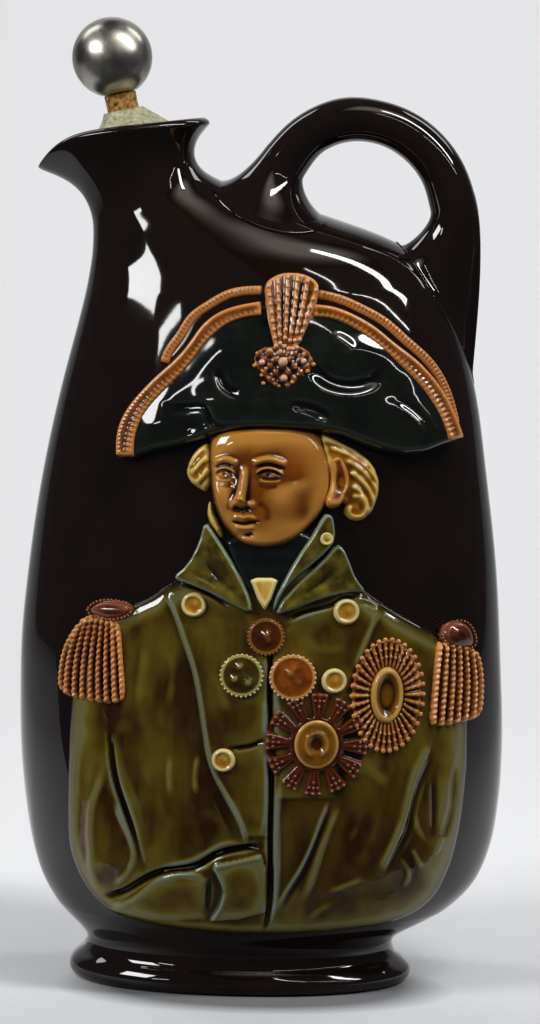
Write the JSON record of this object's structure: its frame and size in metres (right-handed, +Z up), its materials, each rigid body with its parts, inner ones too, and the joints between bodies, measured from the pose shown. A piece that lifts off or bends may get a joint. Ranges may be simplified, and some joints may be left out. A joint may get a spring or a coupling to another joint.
{
  "type": "stoneware flask",
  "caption": "Flattened oval stoneware flask with a side spout, loop handle, oval foot, an officer's bust in relief on the front, a silver mouth collar and a cork stopper with a silver ball",
  "frame": {"origin": "middle of the bounding box's underside, on the plane that the foot ring stands on", "axes": "+Z up, the relief faces -Y, the spout points to -X and the handle is on the +X side"},
  "size_m": [0.1174, 0.0782, 0.2318],
  "materials": {
    "treacle_brown_glaze": "glossy dark brown salt glaze, coloured on the relief",
    "silver": "polished, slightly dulled silver",
    "cork": "dry pitted cork"
  },
  "bodies": {
    "root": {"flask": "treacle_brown_glaze", "mouth_collar": "silver", "stopper_cork": "cork", "stopper_ball": "silver"}
  },
  "joints": []
}
